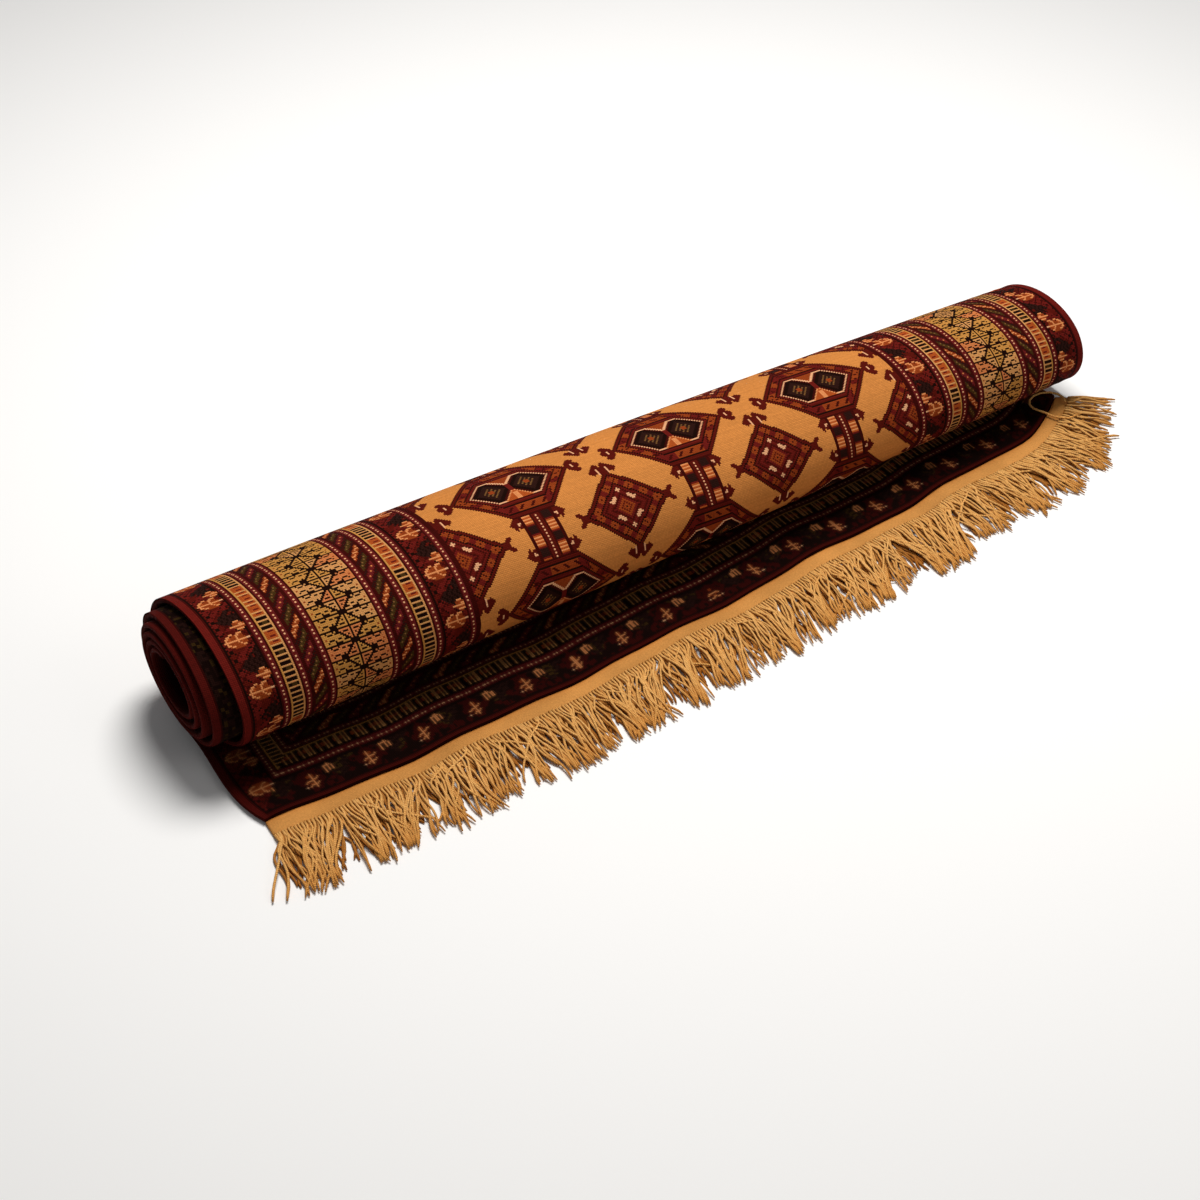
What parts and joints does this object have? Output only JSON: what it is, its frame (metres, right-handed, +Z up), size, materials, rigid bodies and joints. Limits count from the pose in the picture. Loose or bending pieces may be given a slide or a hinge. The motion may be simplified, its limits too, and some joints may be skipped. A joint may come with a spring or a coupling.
{
  "type": "rolled up carpet",
  "caption": "Knotted pile rug wound face inwards into a slightly tapered roll, its patterned back outside and one fringed end lying loose on the floor.",
  "frame": {"origin": "on the floor, within the flat spot under the roll, halfway between the outer turn's two selvedges", "axes": "+X along the roll, -Y toward the loose fringed end, +Z up"},
  "size_m": [1.2745, 0.3872, 0.1597],
  "materials": {
    "wool_back": "matte knotted wool back, patterned",
    "wool_pile": "matte short wool pile, patterned",
    "cotton_weave": "matte flat-woven cotton",
    "cotton_fringe": "soft twisted cotton warp ends"
  },
  "bodies": {
    "root": {"rug_roll": "wool_back", "loose_end": "wool_pile", "flatweave_end": "cotton_weave", "fringe": "cotton_fringe"}
  },
  "joints": []
}
